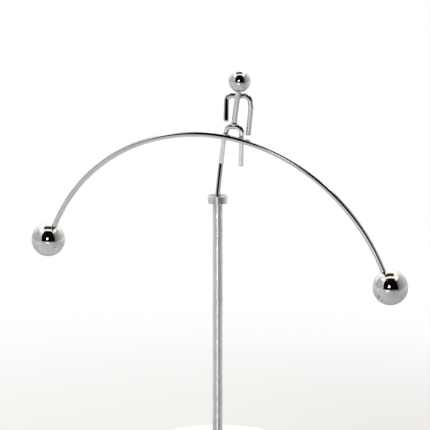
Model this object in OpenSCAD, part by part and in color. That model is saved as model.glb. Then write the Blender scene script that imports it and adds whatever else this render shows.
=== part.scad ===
// Balancing-man desk toy: a wire man stands on one foot in a cup on top of a post,
// and a bow with a steel ball at each end keeps his weight below that foot.
// Millimetres, +Z up. The origin is the middle of the underside of the base.
// +X runs along the bow, and -Y is the front.

/* [Base] */
// Outside diameter of the base cover
base_d = 85; // [60:1:120]
// Height of the flat land in the middle of the base
base_h = 12; // [11:0.5:20]
// Fall of the domed top from the middle to its rounded edge
dome_fall = 1.7; // [0.6:0.1:3]
// Radius of the rounded top edge
edge_r = 2; // [1.5:0.1:3]
// Sheet thickness of the cover
cover_t = 0.8; // [0.5:0.1:1.2]
// Height of the cover's lower edge above the table
skirt_lift = 0.8; // [0.3:0.1:1.1]
// Gap between the cover and the weight inside it
weight_gap = 0.2; // [0.1:0.05:0.5]
// Diameter of the boss on the weight that the cover rests on
boss_d = 14; // [11:0.5:20]
// Thickness of the foam pad
pad_t = 1.5; // [1.2:0.1:2]
// Distance of the pad's edge from the weight's edge
pad_inset = 2; // [1:0.5:6]

/* [Post] */
// Diameter of the post
post_d = 6; // [5.5:0.1:8]
// Length of the post that shows between base and cup
post_l = 141; // [100:1:180]
// Diameter of the post's spigot in the cover
spigot_d = 5; // [4.8:0.1:5.2]
// Chamfer round the post's top end
post_chamfer = 0.4; // [0.2:0.1:0.6]

/* [Base screw] */
// Diameter of the screw
screw_d = 4; // [3:0.5:4]
// Length of the screw under its head
screw_l = 16; // [10:1:24]
// Diameter of the screw head
screw_head_d = 8; // [6:0.5:9]
// Height of the screw head
screw_head_h = 3; // [2:0.1:3.5]
// Depth of the cross recess in the head
recess_depth = 1.6; // [0.8:0.1:1.8]
// Width of a slot of the cross recess
recess_w = 1.1; // [0.8:0.1:1.4]
// Length of a slot of the cross recess
recess_l = 4.4; // [3:0.2:5.2]
// Diameter of the hollow that takes the head
counterbore_d = 11; // [10:0.5:13]
// Thickness of the weight under the boss, between washer and cover
web_t = 4.2; // [3:0.1:5]
// Thickness of the spring washer
washer_t = 0.9; // [0.6:0.1:1.2]
// Width of the spring washer's ring
washer_w = 1.5; // [1:0.1:2]
// Width of the slit in the spring washer
washer_slit = 0.6; // [0.3:0.1:1]

/* [Cup] */
// Outside diameter of the cup
cup_d = 12; // [10:0.5:16]
// Height of the cup
cup_h = 4.4; // [4:0.1:7]
// Width of the cup's flat rim
cup_rim = 0.7; // [0.4:0.1:1.2]
// Depth of the cup's dish
dish_depth = 1.2; // [0.9:0.1:1.4]
// Chamfer on the cup's outer edges
cup_chamfer = 0.3; // [0.1:0.1:0.5]
// Diameter of the hard seat in the cup
seat_d = 5; // [4.4:0.1:5.2]
// Thickness of the seat
seat_t = 1; // [0.8:0.1:1.3]
// Radius of the dimple that the foot stands in
dimple_r = 2; // [1.9:0.1:2.5]
// Depth of the dimple
dimple_depth = 0.5; // [0.3:0.05:0.6]

/* [Wire] */
// Diameter of the wire of man and bow
wire_d = 3.2; // [2.8:0.1:3.5]
// Radius of a bend, to the middle of the wire
bend_r = 3.2; // [2.6:0.1:3.6]
// Rounding of a cut end
end_round = 0.9; // [0.4:0.1:1.2]
// Distance that crossing wires are pressed into each other
set_down = 0.3; // [0.15:0.05:0.5]
// Reach of a solder fillet past the wire's radius
solder_reach = 0.35; // [0.2:0.05:0.6]

/* [Man] */
// Distance from the middle of the round foot to the start of the lower leg
shin_start = 0.6; // [0.4:0.1:0.9]
// Bow of the standing leg's calf, to the right of the foot
calf_x = 0.5; // [-1:0.1:2]
// Bow of the standing leg's calf, behind the foot
calf_back = 4.4; // [3:0.1:5.2]
// Bow of the standing leg's calf, above the foot
calf_z = 19; // [16:0.5:22]
// Knee of the standing leg, to the right of the foot
knee_x = 3.8; // [1:0.1:6]
// Knee of the standing leg, above the foot
knee_z = 33; // [28:0.5:34]
// Corner of the hip over the standing leg, to the right of the foot
hip_x = 6.5; // [4:0.1:8]
// Corner of the hip over the standing leg, above the foot
hip_z = 41.9; // [40:0.1:46]
// Width of the hips
hip_w = 8.5; // [7.5:0.1:12]
// Rise of hips and shoulders to the right, in degrees
bar_slope = 4.3; // [0:0.1:8]
// Length of the raised leg
free_leg_l = 23.4; // [18:0.2:30]
// Swing of the raised leg to the left, in degrees
free_leg_angle = 1.4; // [-4:0.1:6]
// Place of the torso along the hips
torso_at = 3.6; // [3.2:0.1:4.4]
// Start of the torso above the middle of the hip wire
torso_seat = 0.9; // [0.6:0.1:1.2]
// Lean of the torso to the right, in degrees
torso_lean = 7.5; // [0:0.1:12]
// Middle of the head above the hips
head_rise = 27.1; // [24:0.1:34]
// Diameter of the head
head_d = 12.4; // [10:0.1:16]
// Depth of the hole in the head
head_hole = 4.5; // [2:0.1:6]
// Height of the shoulders above the hips
shoulder_rise = 17.8; // [12:0.1:18]
// Length of the left shoulder
shoulder_left = 7.75; // [6:0.05:10]
// Length of the right shoulder
shoulder_right = 6.2; // [5.5:0.05:10]
// Length of the straight left arm
left_arm_l = 14.9; // [10:0.1:18]
// Swing of the left arm to the right, in degrees
left_arm_angle = 4.5; // [-6:0.1:8]
// Swing of the left arm to the front, in degrees
left_arm_swing = 16; // [0:0.5:25]
// Length of the right upper arm
upper_arm_l = 6.9; // [5.5:0.1:10]
// Swing of the right upper arm to the right, in degrees
upper_arm_angle = 6; // [0:0.1:15]
// Length of the right forearm
forearm_l = 16.4; // [10:0.1:20]
// Swing of the right forearm to the left, in degrees
forearm_angle = 6; // [0:0.1:15]

/* [Bow] */
// Radius of the bow, to the middle of the wire
bow_r = 111.2; // [95:0.2:130]
// Angle of the bow's arc to each side of its top, in degrees
bow_half_angle = 64.7; // [55:0.1:72]
// Height of the bow's top above the foot
bow_rise = 36.6; // [35.5:0.1:38.5]
// Place of the bow's middle along X
bow_shift = -1.3; // [-6:0.1:6]
// Straight length from the end of the arc to the middle of a ball
bow_tail = 14.5; // [12:0.1:24]
// Diameter of a balance ball
ball_d = 20; // [16:0.5:24]
// Depth of the hole in a balance ball
ball_hole = 8; // [4:0.5:9]

/* [Rest pose] */
// Lean of the man towards the front when he hangs in balance, in degrees
rest_nod = 8.4; // [-15:0.1:15]
// Lean of the man to the right when he hangs in balance, in degrees
rest_rock = 3.2; // [-15:0.1:15]

/* [Fits] */
// Radial gap of a pressed or screwed fit
fit_gap = 0.02; // [0.01:0.01:0.05]
// Gap between pieces that turn on each other
run_gap = 0.05; // [0.03:0.01:0.1]
// Radial room round the screw in the weight and the washer
screw_room = 0.2; // [0.1:0.05:0.4]
// Room past the tip of the screw and past a wire's end in its hole
tip_room = 0.5; // [0.2:0.1:1]

/* [Hidden] */
$fn = 64;

// A cut runs this far past the face that it opens
cut_past = 1;
// Steps of the wire's round section, and of the large arcs, which need more to stay true
wire_steps = 64;
bow_steps = 360;
dome_steps = 720;
// A bend is drawn this much slimmer in radius, and its ends sink this far into its neighbours
bend_thin = 0.01;
bend_sink = 0.15;

base_r = base_d / 2;
post_r = post_d / 2;
cup_r = cup_d / 2;
wire_r = wire_d / 2;
ball_r = ball_d / 2;
head_r = head_d / 2;
seat_r = seat_d / 2;

// Heights of the stack from the table up
boss_top = base_h - cover_t;
washer_z = boss_top - web_t - washer_t;
cup_z = base_h + post_l;
cup_top = cup_z + cup_h;
seat_top = cup_top - dish_depth;
post_top = seat_top - seat_t;
foot_r = wire_r;
pivot_z = seat_top - dimple_depth + run_gap + foot_r;

// The dome passes through the land's height in the middle and falls to the rounded edge
edge_x = base_r - edge_r;
dome_r = (edge_x * edge_x + dome_fall * dome_fall) / (2 * dome_fall);
edge_z = base_h - dome_fall - edge_r;

// Points are [x, y, z] in the man's own frame, with the foot at the origin
function unit(v) = v / norm(v);
function along(angle) = [cos(angle), 0, sin(angle)];
function down(angle) = [sin(angle), 0, -cos(angle)];
function on_side(side, p) = [side * p.x, p.y, p.z];

// The bow lies in front of the hips and the arms lie behind the torso
lap = wire_d - set_down;
bow_front = [0, -lap, 0];
arms_back = [0, lap, 0];

calf = [calf_x, calf_back, calf_z];
knee = [knee_x, 0, knee_z];
hip_left = [hip_x, 0, hip_z];
hip_right = hip_left + hip_w * along(bar_slope);
free_foot = hip_right + free_leg_l * down(-free_leg_angle);
legs_path = [unit(calf) * shin_start, calf, knee, hip_left, hip_right, free_foot];

torso_axis = [sin(torso_lean), 0, cos(torso_lean)];
torso_foot = hip_left + torso_at * along(bar_slope);
head_middle = torso_foot + head_rise * torso_axis;
neck_top = head_rise - head_r + head_hole;

neck_foot = torso_foot + shoulder_rise * torso_axis;
shoulder_l = neck_foot + arms_back - shoulder_left * along(bar_slope);
shoulder_r = neck_foot + arms_back + shoulder_right * along(bar_slope);
left_arm = cos(left_arm_swing) * down(left_arm_angle) - [0, sin(left_arm_swing), 0];
elbow = shoulder_r + upper_arm_l * down(upper_arm_angle);
arms_path = [shoulder_l + left_arm_l * left_arm, shoulder_l, shoulder_r, elbow,
             elbow + forearm_l * down(-forearm_angle)];

// The bow's arc ends in straight tails that run on into the balls
arc_middle = [bow_shift, 0, bow_rise - bow_r];
arc_end = bow_r * along(90 - bow_half_angle);
tail_dir = down(90 - bow_half_angle);
tail_l = bow_tail - ball_r + ball_hole;

// Where a run from p to q in the plane of the hips passes the bow's arc, on the side nearer to q
function bow_crossing(p, q) =
    let (dir = unit(q - p), off = p - arc_middle, half = dir * off)
    p + dir * (sqrt(half * half - off * off + bow_r * bow_r) - half);

// Half the inner angle of a bend at b, between the runs to a and c
function half_angle(a, b, c) = acos(unit(a - b) * unit(c - b)) / 2;
// Length of the run that the bend at the point with this index takes up
function bend_run(path, i) =
    i == 0 || i == len(path) - 1 ? 0 : bend_r / tan(half_angle(path[i - 1], path[i], path[i + 1]));

// Turns +Z towards a direction
module aim(dir) {
    rotate([0, acos(dir.z / norm(dir)), atan2(dir.y, dir.x)]) children();
}

// Straight length of wire from p to q
module wire_run(p, q) {
    translate(p) aim(q - p) cylinder(h = norm(q - p), d = wire_d);
}

// Straight length of wire from p to q, cut and rounded at q
module end_run(p, q) {
    run_l = norm(q - p);
    translate(p)
        aim(q - p)
            rotate_extrude() {
                square([wire_r, run_l - end_round]);
                square([wire_r - end_round, run_l]);
                intersection() {
                    translate([wire_r - end_round, run_l - end_round]) circle(r = end_round);
                    square([wire_r, run_l]);
                }
            }
}

// Arc of wire about the origin from one angle to another, with its ends sunk into the runs it joins
module wire_arc(r, from, to) {
    sunk = bend_sink / r * 180 / PI;
    rotate([0, 0, from - sunk])
        rotate_extrude(angle = to - from + 2 * sunk)
            translate([r, 0]) circle(r = wire_r - bend_thin, $fn = wire_steps);
}

// Bend at b, between the runs to a and c
module wire_bend(a, b, c) {
    half = half_angle(a, b, c);
    middle = b + unit(unit(a - b) + unit(c - b)) * bend_r / sin(half);
    start = unit(b + unit(a - b) * bend_r / tan(half) - middle);
    axis = unit(cross(b - a, c - b));
    ahead = cross(axis, start);
    multmatrix([[start.x, ahead.x, axis.x, middle.x],
                [start.y, ahead.y, axis.y, middle.y],
                [start.z, ahead.z, axis.z, middle.z]])
        wire_arc(bend_r, 0, 180 - 2 * half);
}

// Wire bent along a path of points, with its last end rounded, and its first if asked
module bent_wire(path, round_first) {
    last = len(path) - 1;
    for (i = [0 : last - 1]) {
        dir = unit(path[i + 1] - path[i]);
        from = path[i] + dir * bend_run(path, i);
        to = path[i + 1] - dir * bend_run(path, i + 1);
        if (i == last - 1) end_run(from, to);
        else if (i == 0 && round_first) end_run(to, from);
        else wire_run(from, to);
    }
    for (i = [1 : last - 1]) wire_bend(path[i - 1], path[i], path[i + 1]);
}

// Places the man's own frame on the pivot in the pose in which he balances
module at_rest() {
    translate([0, 0, pivot_z]) rotate([rest_nod, 0, 0]) rotate([0, rest_rock, 0]) children();
}

// Half outline of the base, drawn in from its outside by an inset
module base_outline(inset) {
    square([base_r - inset, edge_z]);
    translate([edge_x, edge_z]) circle(r = edge_r - inset);
    intersection() {
        translate([0, base_h - dome_r]) circle(r = dome_r - inset, $fn = dome_steps);
        square([edge_x, base_h]);
    }
}

module base_cover() {
    color("gainsboro")
        difference() {
            rotate_extrude()
                difference() {
                    base_outline(0);
                    base_outline(cover_t);
                    square([base_d, skirt_lift]);
                }
            cylinder(h = base_h + cut_past, d = spigot_d + 2 * fit_gap);
        }
}

module base_weight() {
    color("dimgray")
        difference() {
            union() {
                rotate_extrude()
                    difference() {
                        base_outline(cover_t + weight_gap);
                        square([base_d, pad_t]);
                    }
                translate([0, 0, pad_t]) cylinder(h = boss_top - pad_t, d = boss_d);
            }
            cylinder(h = base_h, d = screw_d + 2 * screw_room);
            cylinder(h = washer_z + washer_t, d = counterbore_d);
        }
}

module base_pad() {
    color("black") cylinder(h = pad_t, r = base_r - cover_t - weight_gap - pad_inset);
}

module base_screw() {
    color("silver")
        difference() {
            union() {
                translate([0, 0, washer_z - screw_head_h]) cylinder(h = screw_head_h, d = screw_head_d);
                translate([0, 0, washer_z - cut_past]) cylinder(h = screw_l + cut_past, d = screw_d);
            }
            for (turn = [0, 90])
                translate([0, 0, washer_z - screw_head_h])
                    rotate([0, 0, turn])
                        cube([recess_l, recess_w, 2 * recess_depth], center = true);
        }
}

module spring_washer() {
    inner_r = screw_d / 2 + screw_room;
    color("silver")
        translate([0, 0, washer_z])
            difference() {
                cylinder(h = washer_t, r = inner_r + washer_w);
                translate([0, 0, -cut_past]) cylinder(h = washer_t + 2 * cut_past, r = inner_r);
                translate([inner_r + washer_w / 2, 0, washer_t / 2])
                    cube([washer_w + cut_past, washer_slit, washer_t + cut_past], center = true);
            }
}

module post() {
    color("lightsteelblue")
        difference() {
            union() {
                translate([0, 0, boss_top]) cylinder(h = cover_t, d = spigot_d);
                translate([0, 0, base_h]) cylinder(h = post_top - post_chamfer - base_h, d = post_d);
                translate([0, 0, post_top - post_chamfer])
                    cylinder(h = post_chamfer, r1 = post_r, r2 = post_r - post_chamfer);
            }
            translate([0, 0, boss_top - cut_past])
                cylinder(h = washer_z + screw_l + tip_room - boss_top + cut_past, d = screw_d + 2 * fit_gap);
        }
}

module pivot_cup() {
    socket_r = post_r + fit_gap;
    socket_depth = post_top - cup_z;
    well_r = seat_r + run_gap;
    color("lightsteelblue")
        translate([0, 0, cup_z])
            rotate_extrude()
                polygon([[socket_r, 0], [cup_r - cup_chamfer, 0], [cup_r, cup_chamfer],
                         [cup_r, cup_h - cup_chamfer], [cup_r - cup_chamfer, cup_h],
                         [cup_r - cup_rim, cup_h], [well_r, cup_h - dish_depth],
                         [well_r, socket_depth], [socket_r, socket_depth]]);
}

module pivot_seat() {
    color("slategray")
        difference() {
            translate([0, 0, post_top]) cylinder(h = seat_t, d = seat_d);
            translate([0, 0, seat_top - dimple_depth + dimple_r]) sphere(r = dimple_r);
        }
}

module foot_ball() {
    color("silver") at_rest() sphere(r = foot_r);
}

module bow_shape() {
    translate(arc_middle + bow_front) {
        rotate([90, 0, 0]) wire_arc(bow_r, 90 - bow_half_angle, 90 + bow_half_angle, $fn = bow_steps);
        for (side = [-1, 1]) wire_run(on_side(side, arc_end), on_side(side, arc_end + tail_l * tail_dir));
    }
}

module legs_shape() {
    bent_wire(legs_path, false);
}

module arms_shape() {
    bent_wire(arms_path, true);
}

module torso_shape() {
    wire_run(torso_foot + torso_seat * torso_axis, torso_foot + (neck_top - tip_room) * torso_axis);
}

module legs_wire() {
    color("silver")
        at_rest()
            difference() {
                legs_shape();
                sphere(r = foot_r + run_gap);
                bow_shape();
            }
}

module torso_rod() {
    color("silver")
        at_rest()
            difference() {
                torso_shape();
                legs_shape();
                arms_shape();
            }
}

module arms_wire() {
    color("silver") at_rest() arms_shape();
}

module balance_bow() {
    color("silver") at_rest() bow_shape();
}

// Ball with a hole that opens towards a direction
module drilled_ball(middle, d, hole, dir) {
    translate(middle)
        aim(dir)
            difference() {
                sphere(d = d);
                translate([0, 0, d / 2 - hole]) cylinder(h = hole + cut_past, d = wire_d + 2 * fit_gap);
            }
}

module head_ball() {
    color("silver") at_rest() drilled_ball(head_middle, head_d, head_hole, -torso_axis);
}

module balance_weight(side) {
    color("silver")
        at_rest()
            translate(arc_middle + bow_front)
                drilled_ball(on_side(side, arc_end + bow_tail * tail_dir), ball_d, ball_hole + tip_room,
                             on_side(side, -tail_dir));
}

// Fillet of solder round the place where two wires meet
module solder(middle) {
    translate(middle) sphere(r = wire_r + solder_reach);
}

module hip_solder() {
    color("silver")
        at_rest()
            difference() {
                solder(torso_foot + wire_r * torso_axis);
                torso_shape();
                legs_shape();
            }
}

module shoulder_solder() {
    color("silver")
        at_rest()
            difference() {
                solder(neck_foot + arms_back / 2);
                torso_shape();
                arms_shape();
            }
}

module leg_solder(p, q) {
    color("silver")
        at_rest()
            difference() {
                solder(bow_crossing(p, q) + bow_front / 2);
                legs_shape();
                bow_shape();
            }
}

base_cover();
base_weight();
base_pad();
base_screw();
spring_washer();
post();
pivot_cup();
pivot_seat();
foot_ball();
legs_wire();
torso_rod();
arms_wire();
head_ball();
balance_bow();
balance_weight(-1);  // left_weight
balance_weight(1);  // right_weight
hip_solder();
shoulder_solder();
leg_solder(knee, hip_left);  // left_leg_solder
leg_solder(free_foot, hip_right);  // right_leg_solder
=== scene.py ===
import math

import bpy
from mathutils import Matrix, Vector


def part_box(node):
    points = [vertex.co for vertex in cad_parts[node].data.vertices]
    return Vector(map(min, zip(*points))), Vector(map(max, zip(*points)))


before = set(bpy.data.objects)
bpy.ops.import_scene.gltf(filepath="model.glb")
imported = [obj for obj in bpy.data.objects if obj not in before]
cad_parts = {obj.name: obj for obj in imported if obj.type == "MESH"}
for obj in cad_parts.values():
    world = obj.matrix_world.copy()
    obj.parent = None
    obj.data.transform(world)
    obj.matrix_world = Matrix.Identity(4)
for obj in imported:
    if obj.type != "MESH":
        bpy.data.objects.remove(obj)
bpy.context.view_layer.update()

# ---- names, sizes and places, in metres and degrees

MM = 0.001
BALLS = ("left_weight", "right_weight", "head_ball")
SOLDERS = ("hip_solder", "shoulder_solder", "left_leg_solder", "right_leg_solder")

# The camera: where it stands round the foot that the man turns on, and where that foot shows in the frame
IMAGE_PX = 430
PX_PER_M_AT_FOOT = 1750
CAMERA_AWAY = 1.227
CAMERA_AZIMUTH = 22.8
CAMERA_ELEVATION = 9.6
FOOT_PX = (217.6, 195.4)
SENSOR_MM = 36
CAMERA_CLIP = (0.01, 100.0)

# Chrome: lights and hazes are shares, scales are per metre
CHROME_LIGHT = 0.52
CHROME_TINT = (0.99, 1.0, 1.005)
SMUDGE_LIGHT = 0.923
SMUDGE_TINT = (1.0, 0.995, 0.985)
SMUDGE_HAZES = (0.55, 1.7)
SMUDGE_HAZES_SPUN = (0.75, 0.95)
FINE_SCALE = 2600.0
FINE_HAZE = 0.25
WAVE_SCALE = 95.0
PIT_SCALE = 420.0
PIT_FROM = 0.965
PIT_LIGHT = 0.16
PIT_HAZE = 0.3
PIT_DEPTH = 0.04 * MM
LINE_HAZE = 0.07
LINE_DEPTH = 0.01 * MM
# Painted shade: the colour of faces that look up
PAINTED_TOP_SHADE_LIGHT = 0.22
RINGS_SCALE = 9000.0
RINGS_WANDER = 1.2
QUARTER_TURN = 0.25

# The stage is measured from the middle of the base. Turns are degrees to the right of the camera, tones are
# levels of light, and a reach ahead is towards the camera
FLOOR_RADIUS = 9.0
FLOOR_CORNERS = 96
FLOOR_DROP = 0.2 * MM
FLOOR_COLOUR = (0.90, 0.895, 0.88)
# Painted shade on the floor near the base as the camera sees it: tints that darken it, more to the right
FLOOR_PAINTED_SHADE_LEFT = (0.95, 0.935, 0.90)
FLOOR_PAINTED_SHADE_RIGHT = (0.83, 0.80, 0.765)
FLOOR_SHARE_NEAR = 0.72
FLOOR_SHARE_FAR = 1.0
FLOOR_SHARE_MIRRORED = 0.85
FLOOR_ROUGHNESS = 0.34
# Painted light on the floor in metal: painted shade near the base, darker to the right and towards the base,
# and a painted glare ahead
FLOOR_TONES_NEAR = (1.0, 0.73)
FLOOR_TONES_ROUND = (0.84, 0.5, 1.3)
FLOOR_TONE_AT_BASE = 0.88
FLOOR_TONES_PAST_EDGE = (0.15, 0.5)
FLOOR_WARM_LEFT = (1.0, 0.995, 0.985)
FLOOR_WARM_RIGHT = (1.0, 0.975, 0.945)
FLOOR_COOL_FRONT = (0.90, 0.95, 1.0)
TABLE_EDGE_AHEAD = 0.88
TABLE_EDGE_SLANT = 0.88
GLARE_TURN = -9.0
GLARE_TONE = 1.4
LEG_FLOOR_TONE = 0.3
LEG_FLOOR_REACH = 3.0
WORLD_FILL = 0.55

# The round wall: tones at the left, beside the room on the right, and at the foot and top of the back
WALL_RADIUS = 1.6
WALL_STEPS = 144
WALL_COLOUR = (1.0, 0.995, 0.985)
WALL_LEFT_TONE = 0.80
WALL_RIGHT_TONE = 0.30
BACK_TONES = (1.9, 1.4)
BACK_HEIGHTS = (0.38, 0.62)
WALL_TOP_FROM = (1.3, 1.75)
WALL_TOP_TONE = 1.75
FLAP_TURN = -60.0
FLAP_HEIGHTS = (0.7, 1.1)
FLAP_TONE = 1.6

# The dark room in front: the turns of its left edge low and high, and between which its right edge fades
ROOM_LEFT = (-51.0, -57.0)
ROOM_LEFT_HEIGHTS = (0.2, 1.6)
ROOM_RIGHT = (53.0, 59.0)
ROOM_TONE = 0.003
BALL_ROOM = ((-46.0, -52.0), (48.0, 53.0))
BALL_BACK_TONES = (1.45, 2.5)
LEG_ROOM_WIDER = 9.0
BOW_ROOM_TURN = -11.0
GLINT_TURN = -15.0
GLINT_HEIGHT = 0.46
GLINT_TONE = 5.0
GLINT_COLOUR = (0.78, 0.84, 1.0)

# Above the stage: the tent's white top, the room's ceiling, a dark bar with a pale edge, and the bow's own top
TENT_TOP = 2.3
TENT_TONE = 1.85
TENT_AHEAD = (2.6, -3.0)
TENT_ACROSS = (-2.6, 2.6)
CEILING_FROM = 0.68
CEILING_ACROSS = (-1.15, 1.22)
CEILING_COLOUR = (0.006, 0.006, 0.009)
BAR_EDGE_HEIGHT = 2.2
BAR_EDGE_AHEAD = (0.62, -1.5)
BAR_EDGE_ACROSS = (-1.05, 0.9)
BAR_EDGE_COLOUR = (1.9, 1.78, 1.45)
BAR_HEIGHT = 2.1
BAR_AHEAD = (0.08, -0.92)
BAR_ACROSS = (-0.85, 0.68)
BAR_COLOUR = (0.06, 0.035, 0.01)
BOW_TOP_HEIGHT = 2.05
BOW_TOP_FROM = -0.4
BOW_TOP_RIGHT = -0.35

# The light that the cover sees in front of the room, its ceiling and the bar
ROOM_SCREEN_TONE = 1.05
ROOM_SCREEN_TO = 100.0
CEILING_SCREEN_TONE = 1.3
CEILING_SCREEN_AHEAD = 1.5
BAR_SCREEN_TONE = 1.5

# Lamps: width, watts and colour
SOFTBOX_PLACE = (-0.25, -0.2, 1.5)
SOFTBOX = (1.0, 9.0, (1.0, 1.0, 1.0))
FRONT_LAMP_LEFT = 0.16
FRONT_LAMP_UP = 0.09
FRONT_LAMP = (0.11, 7.5, (0.80, 0.91, 1.0))
BALL_LAMP = (0.26, 2.0, (0.94, 0.97, 1.0))

foot_low, foot_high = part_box("foot_ball")
FOOT = (foot_low + foot_high) / 2


def direction(azimuth, elevation):
    """Unit vector from the object towards a viewer at that azimuth and elevation."""
    a, e = math.radians(azimuth), math.radians(elevation)
    return Vector((math.sin(a) * math.cos(e), -math.cos(a) * math.cos(e), math.sin(e)))


def opaque(colour):
    """A colour as node sockets take it."""
    return tuple(colour) + (1.0,)


def grey(value, tint=(1, 1, 1)):
    """A grey of that value, with a slight tint."""
    return opaque(value * t for t in tint)


# ---- node helpers

class Nodes:
    """A material's or world's node tree, with short calls that add and join nodes."""

    def __init__(self, owner):
        owner.use_nodes = True
        self.tree = owner.node_tree
        self.tree.nodes.clear()

    def add(self, kind, values=None, **settings):
        """A new node with its settings, and its inputs set or linked by name or number."""
        node = self.tree.nodes.new(kind)
        for key, value in settings.items():
            setattr(node, key, value)
        for key, value in (values or {}).items():
            self.put(node.inputs[key], value)
        return node

    def put(self, socket, value):
        """Links an input to an output, or sets it to a plain value."""
        if isinstance(value, bpy.types.NodeSocket):
            self.tree.links.new(value, socket)
        else:
            socket.default_value = value

    def math(self, operation, a, b=0.0, clamp=False):
        node = self.add("ShaderNodeMath", {0: a, 1: b}, operation=operation, use_clamp=clamp)
        return node.outputs[0]

    def plus(self, a, b, clamp=False):
        return self.math("ADD", a, b, clamp)

    def minus(self, a, b):
        return self.math("SUBTRACT", a, b)

    def times(self, a, b):
        return self.math("MULTIPLY", a, b)

    def apart(self, a, b):
        """How far a is from b, either way."""
        return self.math("ABSOLUTE", self.minus(a, b))

    def ramp(self, value, low, high, out_low=0.0, out_high=1.0, smooth=True):
        """A number that goes from out_low to out_high as the value goes from low to high."""
        node = self.add("ShaderNodeMapRange", {"Value": value, "From Min": low, "From Max": high,
                                               "To Min": out_low, "To Max": out_high})
        node.interpolation_type = "SMOOTHSTEP" if smooth else "LINEAR"
        return node.outputs["Result"]

    def fall(self, value, low, high):
        """A share that goes from 1 to 0 as the value goes from low to high."""
        return self.ramp(value, low, high, 1.0, 0.0)

    def mix(self, share, a, b, kind="RGBA"):
        """A colour that goes from a to b as the share goes from 0 to 1."""
        return self.add("ShaderNodeMix", {"Factor": share, "A": a, "B": b}, data_type=kind).outputs["Result"]

    def blend(self, share, a, b):
        """A number that goes from a to b as the share goes from 0 to 1."""
        return self.mix(share, a, b, "FLOAT")

    def place(self):
        return self.add("ShaderNodeTexCoord").outputs["Object"]

    def parts(self, vector):
        """A vector's three coordinates."""
        return tuple(self.add("ShaderNodeSeparateXYZ", {"Vector": vector}).outputs)

    def along(self, vector, axis):
        """How far a vector reaches along an axis."""
        return self.add("ShaderNodeVectorMath", {0: vector, 1: axis}, operation="DOT_PRODUCT").outputs["Value"]

    def noise(self, vector, scale, detail=2.0, roughness=0.5, distortion=0.0):
        node = self.add("ShaderNodeTexNoise", {"Vector": vector, "Scale": scale, "Detail": detail,
                                               "Roughness": roughness, "Distortion": distortion})
        return node.outputs["Fac"]

    def cells(self, vector, scale):
        """Distance from the middle of a cell, and the cell's own colour."""
        node = self.add("ShaderNodeTexVoronoi", {"Vector": vector, "Scale": scale})
        return node.outputs["Distance"], node.outputs["Color"]

    def bump(self, height, strength, distance, normal=None):
        node = self.add("ShaderNodeBump", {"Height": height, "Strength": strength, "Distance": distance})
        if normal is not None:
            self.put(node.inputs["Normal"], normal)
        return node.outputs["Normal"]

    def surface(self, shader):
        self.add("ShaderNodeOutputMaterial", {"Surface": shader})

    def clear_light(self, colour, strength):
        """Makes the surface clear, with light of its own."""
        light = self.add("ShaderNodeEmission", {"Color": colour, "Strength": strength})
        clear = self.add("ShaderNodeBsdfTransparent")
        self.surface(self.add("ShaderNodeAddShader", {0: light.outputs[0], 1: clear.outputs[0]}).outputs[0])


def new_look(name):
    """A new material and its nodes."""
    material = bpy.data.materials.new(name)
    return material, Nodes(material)


# ---- materials

def plating_pits(n, place):
    """A few small pits: 1 in a pit, 0 beside it."""
    distance, colour = n.cells(place, PIT_SCALE)
    pick = n.add("ShaderNodeSeparateColor", {"Color": colour}).outputs["Red"]
    return n.times(n.fall(distance, 0.02, 0.06), n.math("GREATER_THAN", pick, PIT_FROM))


def turning_rings(n, place):
    """Coordinates of turning lines: rings round the upright axis, on the side as well as on top."""
    x, y, z = n.parts(place)
    across = n.math("POWER", n.plus(n.times(x, x), n.times(y, y)), 0.5)
    ring = n.add("ShaderNodeCombineXYZ", {"X": n.times(across, RINGS_SCALE), "Y": n.times(z, RINGS_SCALE),
                                          "Z": n.times(n.math("ARCTAN2", y, x), RINGS_WANDER)})
    return ring.outputs["Vector"]


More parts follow.
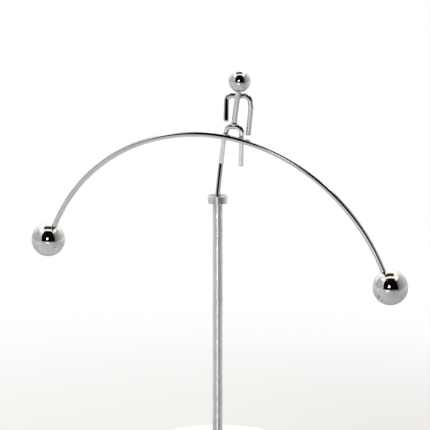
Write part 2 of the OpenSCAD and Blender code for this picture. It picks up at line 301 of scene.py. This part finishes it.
def chrome(name, wear_scale, haze=0.05, wave_depth=0.002 * MM, lines=None, top_haze_and_shade=0.0, spun=0.0,
           light=CHROME_LIGHT, edge=1.0):
    """Bright chromium plating: a near mirror with handling haze, slight waves, a few plating pits and,
    where lines(nodes, place) gives coordinates for them, the tool lines of the metal under it.
    Faces that look up are hazier by top_haze_and_shade, and painted darker as painted shade on the tops. Where
    the piece was spun against the wheel, lights stretch along it by the share spun. It mirrors the share
    light face on, and edge scales what it mirrors at a low angle."""
    material, n = new_look(name)
    place = n.place()
    smudge = n.noise(place, wear_scale, detail=3.0, roughness=0.6, distortion=0.4)
    pit = plating_pits(n, place)
    colour = n.mix(n.ramp(smudge, 0.35, 0.7), grey(light, CHROME_TINT), grey(light * SMUDGE_LIGHT, SMUDGE_TINT))
    colour = n.mix(n.times(pit, 0.6), colour, grey(PIT_LIGHT))
    least, most = SMUDGE_HAZES_SPUN if spun else SMUDGE_HAZES
    roughness = n.plus(n.ramp(smudge, 0.42, 0.72, haze * least, haze * most),
                       n.times(n.noise(place, FINE_SCALE), haze * FINE_HAZE))
    roughness = n.plus(roughness, n.times(pit, PIT_HAZE))
    normal = n.bump(n.noise(place, WAVE_SCALE, detail=1.0), 1.0, wave_depth)
    if lines:
        line = n.noise(lines(n, place), 1.0, detail=4.0, roughness=0.65)
        roughness = n.plus(roughness, n.ramp(line, 0.25, 0.75, 0.0, LINE_HAZE))
        normal = n.bump(line, 0.12, LINE_DEPTH, normal)
    # Painted shade: faces that look up are coloured darker, and they are hazier
    if top_haze_and_shade:
        looks = n.add("ShaderNodeTexCoord").outputs["Normal"]
        upward = n.ramp(n.parts(looks)[2], 0.75, 0.95)
        roughness = n.plus(roughness, n.times(upward, top_haze_and_shade))
        colour = n.mix(n.times(upward, 0.8), colour, grey(PAINTED_TOP_SHADE_LIGHT))
    normal = n.bump(n.times(pit, -1.0), 0.5, PIT_DEPTH, normal)
    shader = n.add("ShaderNodeBsdfPrincipled", {
        "Base Color": colour, "Metallic": 1.0, "Roughness": roughness, "Normal": normal,
        "Specular Tint": grey(edge)})
    if spun:
        tangent = n.add("ShaderNodeTangent", direction_type="RADIAL", axis="Z")
        n.put(shader.inputs["Anisotropic"], spun)
        n.put(shader.inputs["Anisotropic Rotation"], QUARTER_TURN)
        n.put(shader.inputs["Tangent"], tangent.outputs[0])
    n.surface(shader.outputs["BSDF"])
    return material


def cast_iron(name):
    """Sand-cast iron: dark grey, grainy, with a little rust in blotches."""
    material, n = new_look(name)
    place = n.place()
    grain = n.noise(place, 1500.0, detail=4.0, roughness=0.65)
    blotch = n.noise(place, 140.0, detail=3.0, roughness=0.6)
    colour = n.mix(grain, opaque((0.045, 0.045, 0.047)), opaque((0.12, 0.118, 0.115)))
    colour = n.mix(n.ramp(blotch, 0.55, 0.8, 0.0, 0.55), colour, opaque((0.16, 0.075, 0.035)))
    shader = n.add("ShaderNodeBsdfPrincipled", {
        "Base Color": colour, "Metallic": 0.55, "Roughness": n.ramp(grain, 0.2, 0.8, 0.45, 0.75),
        "Normal": n.bump(grain, 0.6, 0.12 * MM)})
    n.surface(shader.outputs["BSDF"])
    return material


def foam(name):
    """Closed-cell foam: dark grey, matt, pitted with fine cells."""
    material, n = new_look(name)
    place = n.place()
    cell, _ = n.cells(place, 2200.0)
    cloud = n.noise(place, 160.0, detail=3.0, roughness=0.6)
    colour = n.mix(n.ramp(cell, 0.1, 0.6), opaque((0.012, 0.012, 0.013)), opaque((0.045, 0.045, 0.047)))
    colour = n.mix(n.ramp(cloud, 0.45, 0.75, 0.0, 0.5), colour, opaque((0.06, 0.058, 0.055)))
    shader = n.add("ShaderNodeBsdfPrincipled", {
        "Base Color": colour, "Roughness": n.ramp(cell, 0.0, 0.7, 0.95, 0.8),
        "Normal": n.bump(cell, 0.7, 0.1 * MM)})
    n.surface(shader.outputs["BSDF"])
    return material


def machined_steel(name, light, dark, roughness, turn_lines):
    """Machined steel with turning lines, zinc plated or ground bright."""
    material, n = new_look(name)
    place = n.place()
    line = n.noise(turning_rings(n, place), turn_lines, detail=3.0, roughness=0.6)
    cloud = n.noise(place, 420.0, detail=3.0, roughness=0.6)
    shader = n.add("ShaderNodeBsdfPrincipled", {
        "Base Color": n.mix(n.ramp(cloud, 0.35, 0.7), opaque(light), opaque(dark)), "Metallic": 1.0,
        "Roughness": n.ramp(line, 0.2, 0.8, roughness, roughness + 0.12),
        "Normal": n.bump(line, 0.2, 0.02 * MM)})
    n.surface(shader.outputs["BSDF"])
    return material


def dress(material, *nodes):
    """Gives CAD nodes their material."""
    for name in nodes:
        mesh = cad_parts[name].data
        mesh.materials.clear()
        mesh.materials.append(material)


dress(chrome("chrome_cover_look", 60.0, haze=0.06), "base_cover")
dress(chrome("chrome_ball_look", 130.0, haze=0.05, edge=0.6), *BALLS)
dress(chrome("chrome_wire_look", 260.0, haze=0.09, wave_depth=0.001 * MM),
      "torso_rod", "arms_wire", "balance_bow", *SOLDERS)
dress(chrome("chrome_leg_look", 260.0, haze=0.03, wave_depth=0.001 * MM), "foot_ball", "legs_wire")
dress(chrome("chrome_post_look", 90.0, haze=0.5, wave_depth=0.0005 * MM, spun=0.8, light=0.63), "post")
dress(chrome("chrome_cup_look", 160.0, haze=0.18, wave_depth=0.001 * MM, lines=turning_rings, top_haze_and_shade=0.1,
             spun=0.7), "pivot_cup")
dress(cast_iron("cast_iron_look"), "base_weight")
dress(foam("foam_look"), "base_pad")
dress(machined_steel("zinc_steel_look", (0.62, 0.66, 0.70), (0.50, 0.52, 0.53), 0.26, 0.5),
      "base_screw", "spring_washer")
dress(machined_steel("hard_steel_look", (0.56, 0.55, 0.54), (0.46, 0.455, 0.45), 0.18, 0.8), "pivot_seat")


# ---- camera

def make_camera():
    """The camera, and its directions to the right, up and back."""
    back = direction(CAMERA_AZIMUTH, CAMERA_ELEVATION)
    right = Vector((0, 0, 1)).cross(back).normalized()
    up = back.cross(right)
    half = IMAGE_PX / 2
    foot_right = (FOOT_PX[0] - half) / PX_PER_M_AT_FOOT
    foot_up = (half - FOOT_PX[1]) / PX_PER_M_AT_FOOT
    aim = FOOT - right * foot_right - up * foot_up
    data = bpy.data.cameras.new("camera")
    data.sensor_width = SENSOR_MM
    data.lens = SENSOR_MM * PX_PER_M_AT_FOOT * CAMERA_AWAY / IMAGE_PX
    data.clip_start, data.clip_end = CAMERA_CLIP
    camera = bpy.data.objects.new("camera", data)
    camera.location = FOOT + back * CAMERA_AWAY
    camera.rotation_mode = "QUATERNION"
    camera.rotation_quaternion = (aim - camera.location).to_track_quat("-Z", "Y")
    bpy.context.scene.collection.objects.link(camera)
    bpy.context.scene.camera = camera
    return camera, right, up, back


camera, RIGHT, UP, BACK = make_camera()
FRONT = Vector((BACK.x, BACK.y, 0)).normalized()
SIDE = Vector((RIGHT.x, RIGHT.y, 0)).normalized()


# ---- stage: floor, white surroundings, lamps, and the cards and walls that the metal mirrors

def stage_piece(name, mesh, material, only_mirrored=True):
    """A piece of the stage. A mirrored piece shows in polished metal and nowhere else."""
    mesh.materials.append(material)
    piece = bpy.data.objects.new(name, mesh)
    bpy.context.scene.collection.objects.link(piece)
    if only_mirrored:
        piece.visible_camera = False
        piece.visible_diffuse = False
        piece.visible_shadow = False
        piece.visible_transmission = False
        piece.visible_volume_scatter = False
    return piece


def flat_piece(name, corners, material, only_mirrored=True):
    """A stage card of one face."""
    mesh = bpy.data.meshes.new(name)
    mesh.from_pydata([tuple(c) for c in corners], [], [tuple(range(len(corners)))])
    return stage_piece(name, mesh, material, only_mirrored)


def level_card(name, height, ahead, across, material):
    """A card that lies level: its reach ahead and to the right, as the camera sees it."""
    (near, far), (left, right) = ahead, across
    corners = [FRONT * f + SIDE * s + Vector((0, 0, height))
               for f, s in ((near, left), (near, right), (far, right), (far, left))]
    return flat_piece(name, corners, material)


def round_wall(name, radius, material, turns=(-180.0, 180.0)):
    """What stands round the object between two turns from the camera, as one round wall."""
    first, last = turns
    rows = []
    for i in range(WALL_STEPS + 1):
        out = direction(CAMERA_AZIMUTH + first + (last - first) * i / WALL_STEPS, 0) * radius
        rows.append((out, out + Vector((0, 0, TENT_TOP))))
    mesh = bpy.data.meshes.new(name)
    mesh.from_pydata([tuple(p) for row in rows for p in row], [],
                     [(2 * i, 2 * i + 1, 2 * i + 3, 2 * i + 2) for i in range(WALL_STEPS)])
    return stage_piece(name, mesh, material)


def light_linked(source, state, nodes):
    """Lets a lamp or a lit piece light only these nodes (INCLUDE), or all but these (EXCLUDE)."""
    group = bpy.data.collections.new(source.name + "_light")
    for name in nodes:
        group.objects.link(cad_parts[name])
    source.light_linking.receiver_collection = group
    for row in group.collection_objects:
        row.light_linking.link_state = state


def only_for(source, *nodes):
    light_linked(source, "INCLUDE", nodes)


def not_for(source, *nodes):
    light_linked(source, "EXCLUDE", nodes)


def glow(name, colour):
    """A card material of even brightness."""
    material, n = new_look(name)
    n.surface(n.add("ShaderNodeEmission", {"Color": colour, "Strength": 1.0}).outputs["Emission"])
    return material


def lit_screen(name, tone):
    """A clear screen with white light of its own: pieces that it doesn't light see through it."""
    material, n = new_look(name)
    n.clear_light(grey(tone), 1.0)
    return material


def stage_place(n):
    """Where a stage point is, as the camera sees it: its turn, and its reach to the right and ahead."""
    place = n.place()
    across, ahead = n.along(place, SIDE), n.along(place, FRONT)
    return n.math("DEGREES", n.math("ARCTAN2", across, ahead)), across, ahead


def side_tones(n, turn, left, right, back):
    """A tone that goes round the object: left, right beside the room and at the back, with soft changes."""
    on_left = n.ramp(turn, -165.0, -100.0, back, left)
    beside_room = n.ramp(turn, 55.0, 120.0, right, left * 1.2, smooth=False)
    on_right = n.blend(n.ramp(turn, 115.0, 165.0), beside_room, back)
    return n.blend(n.ramp(turn, -1.0, 1.0), on_left, on_right)


def wall_look(name, turned=0.0, glint=0.0, widened=0.0, back=BACK_TONES, room_edges=(ROOM_LEFT, ROOM_RIGHT)):
    """The round wall: the dark room in front, grey on its right, pale on the left, bright at the back and
    on top. The whole can be turned, the room can be widened, and a lamp can stand in it."""
    material, n = new_look(name)
    turn = n.minus(stage_place(n)[0], turned)
    height = n.parts(n.place())[2]
    tone = side_tones(n, turn, WALL_LEFT_TONE, WALL_RIGHT_TONE, n.ramp(height, *BACK_HEIGHTS, *back))
    top_from = n.ramp(turn, -70.0, 70.0, *WALL_TOP_FROM)
    tone = n.blend(n.ramp(n.minus(height, top_from), 0.0, 0.45), tone, WALL_TOP_TONE)
    flap = n.times(n.fall(n.apart(turn, FLAP_TURN), 2.0, 5.0), n.ramp(height, *FLAP_HEIGHTS))
    tone = n.blend(flap, tone, FLAP_TONE)
    (left_low, left_high), (right_from, right_to) = room_edges
    left_edge = n.ramp(height, *ROOM_LEFT_HEIGHTS, left_low - widened, left_high - widened)
    room = n.times(n.ramp(n.minus(turn, left_edge), -1.0, 1.0),
                   n.fall(turn, right_from + widened, right_to + widened))
    strength = n.blend(room, tone, ROOM_TONE)
    colour = opaque(WALL_COLOUR)
    if glint:
        lamp = n.times(n.fall(n.apart(turn, GLINT_TURN), 2.0, 7.0),
                       n.fall(n.apart(height, GLINT_HEIGHT), 0.08, 0.26))
        strength = n.plus(strength, n.times(lamp, glint))
        colour = n.mix(lamp, colour, opaque(GLINT_COLOUR))
    n.clear_light(colour, strength)
    return material


def floor_tone(n, turn, away, across, ahead, to_right):
    """How light the floor is in metal, all painted light: painted shade to the right and near the base,
    a painted glare of the lamp on it, and the dark room past the table's slanting front edge."""
    tone = n.blend(n.ramp(away, 0.15, 1.0), n.blend(to_right, *FLOOR_TONES_NEAR),
                   side_tones(n, turn, *FLOOR_TONES_ROUND))
    tone = n.times(tone, n.ramp(away, 0.2, 0.6, FLOOR_TONE_AT_BASE, 1.0))
    glare = n.times(n.fall(n.apart(turn, GLARE_TURN), 3.0, 16.0), n.ramp(away, 0.22, 0.5))
    tone = n.plus(tone, n.times(glare, GLARE_TONE))
    past_edge = n.minus(n.plus(ahead, n.times(across, TABLE_EDGE_SLANT)), TABLE_EDGE_AHEAD)
    past_share = n.times(n.ramp(past_edge, -0.06, 0.06), n.fall(turn, 60.0, 100.0))
    return n.blend(past_share, tone, n.ramp(turn, 45.0, 90.0, *FLOOR_TONES_PAST_EDGE))


def floor_look():
    """Smooth white table: white to the camera, with the object's shadow and painted shade near the base, darker
    to the right, and in metal as the metal meets it.
    """
    material, n = new_look("floor_look")
    turn, across, ahead = stage_place(n)
    away = n.add("ShaderNodeVectorMath", {0: n.place()}, operation="LENGTH").outputs["Value"]
    to_right = n.ramp(across, -0.05, 0.22)
    table = n.add("ShaderNodeBsdfDiffuse", {"Color": opaque(FLOOR_COLOUR)})
    # Painted shade near the base as the camera sees the floor: darker towards the right, fading to white
    # further off
    near = n.mix(to_right, opaque(FLOOR_PAINTED_SHADE_LEFT), opaque(FLOOR_PAINTED_SHADE_RIGHT))
    tint = n.mix(n.ramp(away, 0.05, 0.38), near, grey(1.0))
    seen = n.add("ShaderNodeEmission", {"Color": tint, "Strength": 1.0})
    far_front = n.times(n.ramp(away, 0.25, 0.6), n.fall(n.math("ABSOLUTE", turn), 15.0, 55.0))
    warm = n.mix(to_right, opaque(FLOOR_WARM_LEFT), opaque(FLOOR_WARM_RIGHT))
    mirrored = n.add("ShaderNodeBsdfPrincipled", {
        "Base Color": grey(0.0), "Roughness": FLOOR_ROUGHNESS, "Specular IOR Level": 1.0,
        "Emission Color": n.mix(far_front, warm, opaque(FLOOR_COOL_FRONT)),
        "Emission Strength": floor_tone(n, turn, away, across, ahead, to_right)})
    path = n.add("ShaderNodeLightPath")
    share_seen = n.times(path.outputs["Is Camera Ray"],
                         n.ramp(away, 0.12, 0.45, FLOOR_SHARE_NEAR, FLOOR_SHARE_FAR))
    to_camera = n.add("ShaderNodeMixShader", {0: share_seen, 1: table.outputs[0], 2: seen.outputs[0]})
    in_metal = n.plus(path.outputs["Is Glossy Ray"], path.outputs["Is Transmission Ray"], clamp=True)
    mixed = n.add("ShaderNodeMixShader", {0: n.times(in_metal, FLOOR_SHARE_MIRRORED),
                                          1: to_camera.outputs[0], 2: mirrored.outputs[0]})
    n.surface(mixed.outputs[0])
    return material


def make_floor():
    ring = [Vector((math.cos(a), math.sin(a), 0)) * FLOOR_RADIUS + Vector((0, 0, -FLOOR_DROP))
            for a in (math.tau * i / FLOOR_CORNERS for i in range(FLOOR_CORNERS))]
    flat_piece("floor", ring, floor_look(), only_mirrored=False)


def make_world():
    """White surroundings to the camera and in metal, and a weaker fill light for the rest."""
    world = bpy.data.worlds.new("studio")
    bpy.context.scene.world = world
    n = Nodes(world)
    path = n.add("ShaderNodeLightPath")
    shown = n.plus(path.outputs["Is Camera Ray"], path.outputs["Is Glossy Ray"])
    shown = n.plus(shown, path.outputs["Is Transmission Ray"], clamp=True)
    strength = n.ramp(shown, 0.0, 1.0, WORLD_FILL, 1.0, smooth=False)
    background = n.add("ShaderNodeBackground", {"Color": grey(1.0), "Strength": strength})
    n.add("ShaderNodeOutputWorld", {"Surface": background.outputs[0]})


def make_walls():
    """The room as most pieces mirror it, as balls, limbs and bow do, and nothing but dark behind it."""
    not_for(round_wall("tent_wall", WALL_RADIUS, wall_look("tent_wall_look")),
            "balance_bow", "legs_wire", "arms_wire", *BALLS)
    ball_look = wall_look("ball_wall_look", back=BALL_BACK_TONES, room_edges=BALL_ROOM)
    only_for(round_wall("ball_wall", WALL_RADIUS + 0.06, ball_look), *BALLS)
    leg_look = wall_look("leg_wall_look", widened=LEG_ROOM_WIDER)
    only_for(round_wall("leg_wall", WALL_RADIUS + 0.04, leg_look), "legs_wire", "arms_wire")
    bow_look = wall_look("bow_wall_look", turned=BOW_ROOM_TURN, glint=GLINT_TONE)
    only_for(round_wall("bow_wall", WALL_RADIUS + 0.02, bow_look), "balance_bow")
    # The legs show the table paler than the balls do
    reach = LEG_FLOOR_REACH
    only_for(level_card("leg_floor", -FLOOR_DROP / 2, (reach, -reach), (-reach, reach),
                        lit_screen("leg_floor_lit", LEG_FLOOR_TONE)), "legs_wire")
    round_wall("dark_wall", WALL_RADIUS + 0.1, glow("beyond_dark", grey(0.0)))


def make_tops():
    """The tent's white top with the dark room's ceiling in front, and a dark bar with a pale edge across it.
    Bow and arms have a top of their own."""
    tent_top = level_card("tent_top", TENT_TOP, TENT_AHEAD, TENT_ACROSS, glow("tent_white", grey(TENT_TONE)))
    level_card("room_ceiling", TENT_TOP - 0.02, (TENT_AHEAD[0], CEILING_FROM), CEILING_ACROSS,
               glow("room_dark", opaque(CEILING_COLOUR)))
    bar_edge = level_card("tent_bar_edge", BAR_EDGE_HEIGHT, BAR_EDGE_AHEAD, BAR_EDGE_ACROSS,
                          glow("bar_edge", opaque(BAR_EDGE_COLOUR)))
    bar = level_card("tent_bar", BAR_HEIGHT, BAR_AHEAD, BAR_ACROSS, glow("bar_dark", opaque(BAR_COLOUR)))
    for card in (tent_top, bar_edge, bar):
        not_for(card, "balance_bow", "arms_wire")
    bow_top_lit = lit_screen("bow_top_lit", TENT_TONE)
    bow_top = level_card("bow_top", BOW_TOP_HEIGHT, (BOW_TOP_FROM, TENT_AHEAD[1]), TENT_ACROSS, bow_top_lit)
    bow_top_right = level_card("bow_top_right", BOW_TOP_HEIGHT, (CEILING_FROM, BOW_TOP_FROM),
                               (BOW_TOP_RIGHT, TENT_ACROSS[1]), bow_top_lit)
    for card in (bow_top, bow_top_right):
        only_for(card, "balance_bow", "arms_wire")


def area_lamp(name, place, size, watts, colour, shape="DISK"):
    """A lamp that points at the foot."""
    data = bpy.data.lights.new(name, "AREA")
    data.shape = shape
    data.size = size
    data.energy = watts
    data.color = colour
    lamp = bpy.data.objects.new(name, data)
    lamp.location = place
    lamp.rotation_mode = "QUATERNION"
    lamp.rotation_quaternion = (FOOT - place).to_track_quat("-Z", "Y")
    lamp.visible_camera = False
    bpy.context.scene.collection.objects.link(lamp)
    return lamp


def make_softbox():
    softbox = area_lamp("softbox", Vector(SOFTBOX_PLACE), *SOFTBOX, "SQUARE")
    softbox.visible_glossy = False


def make_cover_screens():
    """The cover mirrors so much of the room at once that it would look black from behind: it sees it lit."""
    room = round_wall("room_screen", WALL_RADIUS - 0.03, lit_screen("room_lit", ROOM_SCREEN_TONE),
                      (ROOM_LEFT[1], ROOM_SCREEN_TO))
    ceiling = level_card("ceiling_screen", TENT_TOP - 0.04, (CEILING_SCREEN_AHEAD, CEILING_FROM),
                         CEILING_ACROSS, lit_screen("ceiling_lit", CEILING_SCREEN_TONE))
    bar = level_card("bar_screen", BAR_HEIGHT - 0.02, BAR_AHEAD, BAR_ACROSS,
                     lit_screen("bar_lit", BAR_SCREEN_TONE))
    for screen in (room, ceiling, bar):
        only_for(screen, "base_cover")


def make_front_lamps():
    """The lamp beside the camera, and the same lamp as the balls show it: a soft spot."""
    place = camera.location - RIGHT * FRONT_LAMP_LEFT + UP * FRONT_LAMP_UP
    only_for(area_lamp("front_lamp", place, *FRONT_LAMP), "post", "pivot_cup", "base_cover")
    only_for(area_lamp("ball_lamp", place, *BALL_LAMP), *BALLS)


make_floor()
make_world()
make_walls()
make_tops()
make_softbox()
make_cover_screens()
make_front_lamps()

bpy.context.scene.view_settings.view_transform = "Standard"
